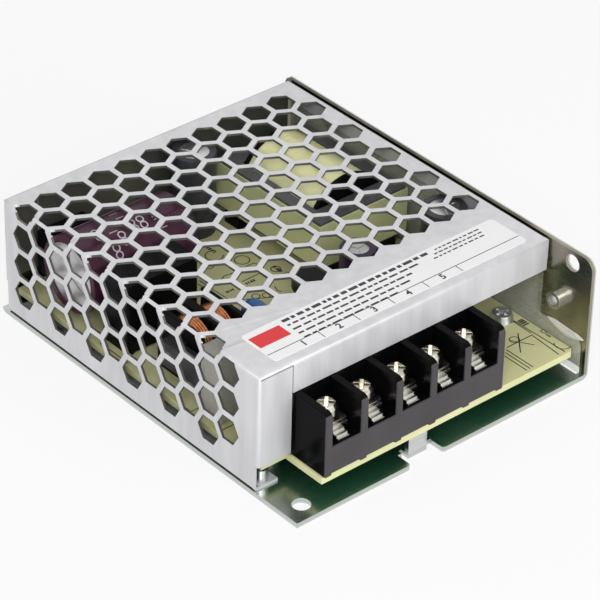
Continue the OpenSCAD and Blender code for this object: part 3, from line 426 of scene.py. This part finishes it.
def makeBlockFinish():
    # grained front face painted lighter as lit, polished wells and sides behind it painted near-black as
    # shade
    mat, tree, shader, place = startFinish("blockMoulding")
    grain = addNoise(tree, place, blockLook["grain"])
    cloud = addNoise(tree, place, blockLook["cloud"], detail=2.0)
    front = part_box("terminal_block")[0].y + blockLook["frontRun"] * mm
    isFront = isBelow(tree, axisOf(tree, place, "Y"), front)
    litFront = addRamp(tree, cloud, blockLook["litFront"], blockLook["litFrontPale"], *noiseSpan)
    shadedWells = addRamp(tree, cloud, blockLook["shadedWells"], blockLook["shadedWellsPale"], *noiseSpan)
    tree.links.new(addMix(tree, isFront, shadedWells, litFront), shader.inputs["Base Color"])
    glossRough = addRange(tree, grain, *blockLook["glossRough"])
    mattRough = addMath(tree, "MULTIPLY", isFront, blockLook["mattRough"])
    tree.links.new(addMath(tree, "MAXIMUM", glossRough, mattRough), shader.inputs["Roughness"])
    shader.inputs["Specular IOR Level"].default_value = blockLook["shine"]
    addBump(tree, shader, grain, blockLook["bump"], blockLook["depth"] * mm)
    return mat


dress("terminal_block", makeBlockFinish(), blockLook["edge"])
print("inner parts dressed")


def newPiece(name, data, mat, at=(0, 0, 0)):
    obj = bpy.data.objects.new(name, data)
    obj.location = at
    bpy.context.scene.collection.objects.link(obj)
    data.materials.append(mat)
    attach(obj, "case")
    return obj


def closeMesh(bm, name):
    mesh = bpy.data.meshes.new(name)
    bm.to_mesh(mesh)
    bm.free()
    return mesh


inkTouch = 0.001  # ends this close make a closed line


def addStrip(bm, points, width, lay):
    # an inked line: flat points in mm, laid on the surface by lay()
    points = [Vector(p) for p in points]
    closed = (points[0] - points[-1]).length < inkTouch
    rows = []
    for k, p in enumerate(points):
        before = points[k - 1] if k > 0 else (points[-2] if closed else p)
        after = points[k + 1] if k < len(points) - 1 else (points[1] if closed else p)
        run = (after - before).normalized()
        side = Vector((-run.y, run.x)) * width / 2
        rows.append((bm.verts.new(lay(p + side)), bm.verts.new(lay(p - side))))
    for (a, b), (c, d) in zip(rows, rows[1:]):
        bm.faces.new((b, d, c, a))


def arcPoints(x, y, radius, start=0, end=360):
    steps = 22
    turns = [math.radians(start + (end - start) * k / steps) for k in range(steps + 1)]
    return [(x + radius * math.cos(t), y + radius * math.sin(t)) for t in turns]


inkLooks = {
    "blackInk": {"dark": (0.012, 0.012, 0.012), "pale": (0.03, 0.03, 0.03), "grain": 1500,
                 "rough": (0.45, 0.6)},
    "redInk": {"dark": (0.62, 0.015, 0.02), "pale": (0.72, 0.03, 0.035), "grain": 1500,
               "rough": (0.42, 0.55)},
    "whiteInk": {"dark": (0.55, 0.5, 0.54), "pale": (0.7, 0.66, 0.7), "grain": 1500, "rough": (0.4, 0.55)},
}
inks = {name: makeFinish(name, look) for name, look in inkLooks.items()}

boardLines = (  # outlines round the parts, in mm
    ((28.0, -37.4), (28.0, -45.7)), ((27.1, -38.1), (27.1, -45.7)), ((26.1, -38.9), (26.1, -45.7)),
    ((34.6, -27.6), (36.7, -27.6), (37.2, -45.9)), ((34.5, -29.7), (36.5, -29.8), (36.4, -36.4)),
    ((36.0, -37.3), (35.5, -45.8)), ((28.6, -37.0), (36.4, -37.0)), ((30.9, -35.4), (33.9, -40.0)),
    ((34.2, -34.6), (29.6, -40.2)), ((20.4, -38.0), (24.0, -35.0), (24.0, -30.0)),
    ((-2.4, 21.2), (-0.8, 22.0), (2.1, 21.6)), ((0.8, 17.8), (5.7, 17.9)),
    ((5.2, 12.0), (4.6, 10.4), (4.9, 9.4)), ((5.3, 21.9), (7.5, 21.8), (8.2, 20.4)),
    ((-6.2, 24.0), (-5.9, 13.8), (2.0, 9.0)), ((-7.3, 23.2), (-7.0, 14.0)),
    ((-12.0, 9.4), (-8.6, 6.0), (-8.6, -1.0)), ((-13.0, 8.0), (-9.6, 5.0), (-9.6, -1.0)),
    ((9.0, 14.5), (11.0, 14.5), (11.0, 8.0)), ((-37.6, 19.0), (-37.6, 9.4), (-36.6, 9.4)),
    ((-38.2, -9.5), (-38.2, -12.4), (-34.0, -12.4)), ((-38.0, -21.4), (-31.0, -21.4)),
)
boardRings = (  # centre, radius, start and end
    (31.9, -35.9, 1.1, 0, 360), (39.0, -37.6, 0.6, 0, 360), (38.9, -43.6, 1.9, 130, 300),
    (6.3, 24.4, 1.7, 0, 360), (-0.5, 11.6, 0.9, 0, 360), (1.5, 10.4, 0.9, 0, 360), (-4.0, 6.2, 2.6, 0, 360),
    (-10.6, 2.0, 1.3, 0, 360), (2.6, 29.6, 2.0, 40, 330), (9.8, 17.0, 1.1, 0, 360),
    (-1.0, 27.5, 1.4, 0, 360),
)
boardBlocks = (  # corner and size
    (37.1, -33.5, 1.6, 2.6), (38.4, -40.0, 0.5, 1.6), (3.1, 30.5, 0.9, 3.0), (0.9, 16.2, 2.6, 0.8),
    (9.6, 15.4, 0.9, 2.8), (-7.9, 10.2, 0.8, 2.4), (-4.6, 16.4, 2.2, 0.7),
)
boardPrint = {"lift": 0.02, "line": 0.26, "ring": 0.24, "dashes": 4, "dash": (0.45, 0.85)}


def printBoard():
    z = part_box("circuit_board")[1].z + boardPrint["lift"] * mm
    bm = bmesh.new()
    lay = lambda p: (p[0] * mm, p[1] * mm, z)
    for points in boardLines:
        addStrip(bm, points, boardPrint["line"], lay)
    for x, y, radius, start, end in boardRings:
        addStrip(bm, arcPoints(x, y, radius, start, end), boardPrint["ring"], lay)
    for x, y, w, d in boardBlocks:  # a solid patch broken by gaps
        wide, run = w > d, max(w, d) / boardPrint["dashes"]
        shift = Vector((0, d / 2)) if wide else Vector((w / 2, 0))
        for k in range(boardPrint["dashes"]):
            dash = run * random.uniform(*boardPrint["dash"])
            start = (x + run * k, y) if wide else (x, y + run * k)
            end = (start[0] + dash, y) if wide else (x, start[1] + dash)
            addStrip(bm, [Vector(start) + shift, Vector(end) + shift], min(w, d), lay)
    newPiece("boardPrint", closeMesh(bm, "boardPrint"), inks["blackInk"])


labelPrint = {"block": (-34.0, -29.3, 8.1, 4.0), "rule": 2.6, "ruleWidth": 0.2, "inset": 0.2, "top": 1.3,
              "digit": 2.5, "bold": 0.07, "digitLevel": 1.3, "sunk": 0.008, "pitch": 9.5, "endWall": 0.875}
barLooks = (  # plain bars in rows: each row's start and end move left by outdent and shorter
    {"rows": 5, "pitch": 1.75, "from": -24.6, "outdent": 0, "to": 14.0, "shorter": 3.5,
     "bar": (0.8, 2.6), "gap": (0.35, 0.7), "firstWidth": 0.9, "width": 0.55},
    {"rows": 3, "pitch": 1.2, "from": 17.5, "outdent": 1.2, "to": 29.0, "shorter": 0,
     "bar": (0.6, 1.6), "gap": (0.3, 0.5), "firstWidth": 0.4, "width": 0.4},
)


def addBars(bm, look, top, lay):
    for row in range(look["rows"]):
        x = look["from"] - look["outdent"] * row
        level = top - look["pitch"] * row
        width = look["width"] if row else look["firstWidth"]
        while x < look["to"] - look["shorter"] * row:
            run = random.uniform(*look["bar"])
            addStrip(bm, [(x, level), (x + run, level)], width, lay)
            x += run + random.uniform(*look["gap"])


def printLabel():
    low, high = (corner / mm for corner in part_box("rating_label"))
    z = high.z * mm - labelPrint["sunk"] * mm
    lay = lambda p: (p[0] * mm, p[1] * mm, z)
    rule, width, pitch = low.y + labelPrint["rule"], labelPrint["ruleWidth"], labelPrint["pitch"]
    inset = labelPrint["inset"]
    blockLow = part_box("terminal_block")[0].x / mm + labelPrint["endWall"]
    red, black = bmesh.new(), bmesh.new()
    x, y, w, d = labelPrint["block"]  # corner and size
    addStrip(red, [(x, y + d / 2), (x + w, y + d / 2)], d, lay)
    addStrip(black, [(low.x + inset, rule), (high.x - inset, rule)], width, lay)
    for k in bays:
        addStrip(black, [(blockLow + pitch * k, low.y + inset), (blockLow + pitch * k, rule)], width, lay)
    for look in barLooks:
        addBars(black, look, high.y - labelPrint["top"], lay)
    newPiece("labelBlock", closeMesh(red, "labelBlock"), inks["redInk"])
    newPiece("labelRules", closeMesh(black, "labelRules"), inks["blackInk"])
    for k in bays:
        text = bpy.data.curves.new(f"labelNumber{k}", "FONT")
        text.body = str(k)
        text.size = labelPrint["digit"] * mm
        text.align_x, text.align_y = "CENTER", "CENTER"
        text.offset = labelPrint["bold"] * mm
        at = ((blockLow + pitch * (k - 0.5)) * mm, (low.y + labelPrint["digitLevel"]) * mm, z)
        newPiece(f"labelNumber{k}", text, inks["blackInk"], at)


sleevePrint = {"lift": 0.01, "rings": ((-31.0, 1.2), (-26.2, 4.4), (-22.4, 2.6), (-20.0, 2.6), (-29.0, 6.6)),
               "ringRadius": 0.8, "ringStep": 1.7, "ringWidth": 0.34,
               "boxes": ((-28.4, 3.0), (-17.2, 1.0), (-17.2, 4.2), (-24.4, -2.4)), "box": (1.9, 2.4),
               "stripes": 5, "stripePitch": 0.9, "stripe": ((-14.6, -3.0), (-13.6, 4.6)), "stripeWidth": 0.24,
               "line": ((-35.6, -4.4), (-12.0, -4.4)), "lineWidth": 0.3}


def printSleeve():
    # pale rings and boxes round the big capacitor, laid on its sleeve
    low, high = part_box("bulk_sleeve")
    centre, radius = (low + high) / 2, (high.z - low.z) / 2 + sleevePrint["lift"] * mm

    def lay(p):  # along the axis, and round it from the top towards the front
        turn = p[1] * mm / radius
        return (p[0] * mm, centre.y - radius * math.sin(turn), centre.z + radius * math.cos(turn))

    bm = bmesh.new()
    for x, s in sleevePrint["rings"]:
        for step in (0, sleevePrint["ringStep"]):
            ring = arcPoints(x, s + step, sleevePrint["ringRadius"])
            addStrip(bm, ring, sleevePrint["ringWidth"], lay)
    w, d = sleevePrint["box"]
    for x, s in sleevePrint["boxes"]:
        corners = [(x, s), (x + w, s), (x + w, s + d), (x, s + d), (x, s)]
        addStrip(bm, corners, sleevePrint["lineWidth"], lay)
    for k in range(sleevePrint["stripes"]):
        stripe = [(x + sleevePrint["stripePitch"] * k, s) for x, s in sleevePrint["stripe"]]
        addStrip(bm, stripe, sleevePrint["stripeWidth"], lay)
    addStrip(bm, sleevePrint["line"], sleevePrint["lineWidth"], lay)
    newPiece("sleevePrint", closeMesh(bm, "sleevePrint"), inks["whiteInk"])


# the leaf's finish is opaque and near white: a painted highlight on the clear film's curl
leafLook = {"from": (39.5, -37.6, 10.5), "to": (39.6, -48.8, 10.0), "half": 1.05, "lean": 0.35, "steps": 16,
            "sag": 0.55, "bulge": 0.25, "tip": 0.02, "roundness": 0.8, "thick": 0.15,
            "finish": {"dark": (0.62, 0.61, 0.55), "pale": (0.86, 0.85, 0.80), "grain": 120,
                       "rough": (0.12, 0.2), "coat": 0.6}}


def curlFilmCorner():
    # the film's lower front edge, turned up off the wall, drawn opaque and pale as a painted highlight on the
    # clear film
    start, end = (Vector(leafLook[k]) * mm for k in ("from", "to"))
    bm = bmesh.new()
    rows = []
    for k in range(leafLook["steps"] + 1):
        t = k / leafLook["steps"]
        swell = math.sin(math.pi * t)
        half = leafLook["half"] * mm * max(swell, leafLook["tip"]) ** leafLook["roundness"]
        middle = start.lerp(end, t) - Vector((0, 0, leafLook["sag"] * mm * swell))
        lean = Vector((leafLook["lean"] * half, 0, half))
        bulge = Vector((-leafLook["bulge"] * half, 0, 0))
        rows.append([bm.verts.new(p) for p in (middle + lean, middle + bulge, middle - lean)])
    for one, two in zip(rows, rows[1:]):
        for k in range(2):
            bm.faces.new((one[k], one[k + 1], two[k + 1], two[k])).smooth = True
    leaf = newPiece("filmCorner", closeMesh(bm, "filmCorner"), makeFinish("turnedFilmHighlight", leafLook["finish"]))
    thick = leaf.modifiers.new("thick", "SOLIDIFY")
    thick.thickness = leafLook["thick"] * mm


printBoard()
printLabel()
printSleeve()
curlFilmCorner()
print("board, label and sleeve printed")


wireLook = {"wire": 0.66, "gap": 0.02, "steps": 40}


def windCoil(name, node):
    low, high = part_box(node)
    centre = (low + high) / 2
    wire, steps = wireLook["wire"] * mm, wireLook["steps"]
    radius = (high.z - low.z) / 2 - wire / 2
    turns = int((high.x - low.x) / ((wireLook["wire"] + wireLook["gap"]) * mm))
    pitch = (high.x - low.x - wire) / turns
    curve = bpy.data.curves.new(name, "CURVE")
    curve.dimensions = "3D"
    curve.bevel_depth = wire / 2
    curve.bevel_resolution = 2
    spline = curve.splines.new("POLY")
    spline.points.add(turns * steps)
    for k, point in enumerate(spline.points):
        turn = 2 * math.pi * k / steps
        x = low.x + wire / 2 + pitch * k / steps
        point.co = (x, centre.y + radius * math.cos(turn), centre.z + radius * math.sin(turn), 1)
    coil = newPiece(name, curve, finishes["copperWire"])
    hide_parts(node)


for k in (1, 2):
    windCoil(f"chokeWire{k}", f"choke_winding_{k}")
print("choke wound")


stageLook = {"size": 3.0, "drop": 0.02, "floor": (0.86, 0.86, 0.87), "floorPale": (0.88, 0.88, 0.88),
             "cloud": 4, "rough": 0.9, "shadow": 0.22, "world": 0.62}


def whiteForCamera(tree):
    # camera, mirror and see-through rays meet plain white
    path = tree.nodes.new("ShaderNodeLightPath")
    seen = addMath(tree, "MAXIMUM", path.outputs["Is Camera Ray"], path.outputs["Is Transmission Ray"])
    return addMath(tree, "MAXIMUM", seen, path.outputs["Is Glossy Ray"])


def layFloor():
    mesh = bpy.data.meshes.new("floor")
    half = stageLook["size"] / 2
    corners = [(-half, -half, 0), (half, -half, 0), (half, half, 0), (-half, half, 0)]
    mesh.from_pydata(corners, [], [(0, 1, 2, 3)])
    floor = bpy.data.objects.new("floor", mesh)
    floor.location.z = -stageLook["drop"] * mm
    bpy.context.scene.collection.objects.link(floor)
    mat, tree, shader, place = startFinish("paleFloor")
    cloud = addNoise(tree, place, stageLook["cloud"], detail=2.0)
    colour = addRamp(tree, cloud, stageLook["floor"], stageLook["floorPale"], *noiseSpan)
    tree.links.new(colour, shader.inputs["Base Color"])
    shader.inputs["Roughness"].default_value = stageLook["rough"]
    glow = tree.nodes.new("ShaderNodeEmission")
    glow.inputs["Color"].default_value = (1, 1, 1, 1)
    blend = tree.nodes.new("ShaderNodeMixShader")
    share = addMath(tree, "MULTIPLY", whiteForCamera(tree), 1 - stageLook["shadow"])
    tree.links.new(share, blend.inputs["Fac"])
    tree.links.new(shader.outputs["BSDF"], blend.inputs[1])
    tree.links.new(glow.outputs["Emission"], blend.inputs[2])
    tree.links.new(blend.outputs["Shader"], tree.nodes["Material Output"].inputs["Surface"])
    mesh.materials.append(mat)


def lightWorld():
    world = bpy.data.worlds.new("studio")
    bpy.context.scene.world = world
    world.use_nodes = True
    tree = world.node_tree
    background = tree.nodes["Background"]
    background.inputs["Color"].default_value = (1, 1, 1, 1)
    share = whiteForCamera(tree)
    tree.links.new(addRange(tree, share, stageLook["world"], 1.0), background.inputs["Strength"])


lampLook = {
    "key": {"at": (-0.51, -0.58, 0.63), "size": 0.50, "watts": 4.0},
    "front": {"at": (0.10, -0.90, 0.30), "size": 0.50, "watts": 2.3},
}


def hangLamps():
    for name, look in lampLook.items():
        lamp = bpy.data.lights.new(name, "AREA")
        lamp.shape = "DISK"
        lamp.size = look["size"]
        lamp.energy = look["watts"]
        obj = bpy.data.objects.new(name, lamp)
        obj.location = look["at"]
        obj.rotation_euler = (-Vector(look["at"])).to_track_quat("-Z", "Y").to_euler()
        bpy.context.scene.collection.objects.link(obj)


cameraLook = {"azimuth": 41.53, "elevation": 34.33, "roll": 1.44, "distance": 0.6938, "lens": 194.4,
              "sensor": 36, "clip": (0.01, 10), "aim": (0.00013, -0.00223, 0.01268)}


def setCamera():
    turn, tilt, roll = (math.radians(cameraLook[k]) for k in ("azimuth", "elevation", "roll"))
    ahead = Vector((math.sin(turn) * math.cos(tilt), math.cos(turn) * math.cos(tilt), -math.sin(tilt)))
    right = Vector((math.cos(turn), -math.sin(turn), 0))
    up = right.cross(ahead)
    rolledRight = right * math.cos(roll) + up * math.sin(roll)
    rolledUp = up * math.cos(roll) - right * math.sin(roll)
    place = Vector(cameraLook["aim"]) - ahead * cameraLook["distance"]
    data = bpy.data.cameras.new("camera")
    data.lens = cameraLook["lens"]
    data.sensor_width = cameraLook["sensor"]
    data.clip_start, data.clip_end = cameraLook["clip"]
    camera = bpy.data.objects.new("camera", data)
    turned = Matrix((rolledRight, rolledUp, -ahead)).transposed().to_4x4()
    camera.matrix_world = Matrix.Translation(place) @ turned
    bpy.context.scene.collection.objects.link(camera)
    bpy.context.scene.camera = camera


layFloor()
lightWorld()
hangLamps()
setCamera()
bpy.context.scene.view_settings.view_transform = "Standard"
print("stage set")
